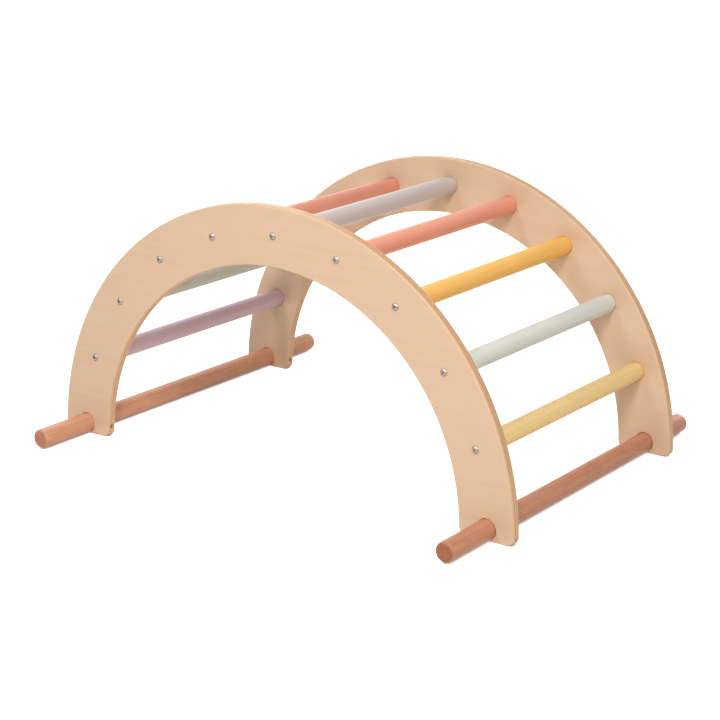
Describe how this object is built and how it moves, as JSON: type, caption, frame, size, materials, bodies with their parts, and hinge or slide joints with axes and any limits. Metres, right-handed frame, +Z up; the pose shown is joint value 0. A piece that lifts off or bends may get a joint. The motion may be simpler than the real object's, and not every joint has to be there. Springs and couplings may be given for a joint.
{
  "type": "climbing arch",
  "caption": "Half-round wooden climbing arch for children: two plywood half rings joined by coloured round rungs, with long floor bars through the feet.",
  "frame": {"origin": "on the floor, at the centre of the half circle and midway between the side panels", "axes": "+X along the arch from foot to foot, +Y across it along the rungs, +Z up"},
  "size_m": [0.9486, 0.781, 0.4745],
  "materials": {
    "birch_plywood": "clear satin lacquer",
    "terracotta_stain": "satin stain",
    "mauve_paint": "satin stain",
    "sage_paint": "satin stain",
    "apricot_paint": "satin stain",
    "coral_paint": "satin stain",
    "pale_lilac_paint": "satin stain",
    "salmon_paint": "satin stain",
    "yellow_orange_paint": "satin stain",
    "pale_green_paint": "satin stain",
    "pale_yellow_paint": "satin stain",
    "plated_steel": "bright zinc plate"
  },
  "bodies": {
    "root": {"side_panel_front": "birch_plywood", "side_panel_back": "birch_plywood", "floor_bar_left": "terracotta_stain", "floor_bar_right": "terracotta_stain", "rung_1": "mauve_paint", "rung_2": "sage_paint", "rung_3": "apricot_paint", "rung_4": "coral_paint", "rung_5": "pale_lilac_paint", "rung_6": "salmon_paint", "rung_7": "yellow_orange_paint", "rung_8": "pale_green_paint", "rung_9": "pale_yellow_paint", "rung_bolt_front_1": "plated_steel", "rung_insert_front_1": "plated_steel", "rung_bolt_front_2": "plated_steel", "rung_insert_front_2": "plated_steel", "rung_bolt_front_3": "plated_steel", "rung_insert_front_3": "plated_steel", "rung_bolt_front_4": "plated_steel", "rung_insert_front_4": "plated_steel", "rung_bolt_front_5": "plated_steel", "rung_insert_front_5": "plated_steel", "rung_bolt_front_6": "plated_steel", "rung_insert_front_6": "plated_steel", "rung_bolt_front_7": "plated_steel", "rung_insert_front_7": "plated_steel", "rung_bolt_front_8": "plated_steel", "rung_insert_front_8": "plated_steel", "rung_bolt_front_9": "plated_steel", "rung_insert_front_9": "plated_steel", "bar_lock_screw_front_left": "plated_steel", "bar_lock_screw_front_right": "plated_steel", "rung_bolt_back_1": "plated_steel", "rung_insert_back_1": "plated_steel", "rung_bolt_back_2": "plated_steel", "rung_insert_back_2": "plated_steel", "rung_bolt_back_3": "plated_steel", "rung_insert_back_3": "plated_steel", "rung_bolt_back_4": "plated_steel", "rung_insert_back_4": "plated_steel", "rung_bolt_back_5": "plated_steel", "rung_insert_back_5": "plated_steel", "rung_bolt_back_6": "plated_steel", "rung_insert_back_6": "plated_steel", "rung_bolt_back_7": "plated_steel", "rung_insert_back_7": "plated_steel", "rung_bolt_back_8": "plated_steel", "rung_insert_back_8": "plated_steel", "rung_bolt_back_9": "plated_steel", "rung_insert_back_9": "plated_steel", "bar_lock_screw_back_left": "plated_steel", "bar_lock_screw_back_right": "plated_steel"}
  },
  "joints": []
}
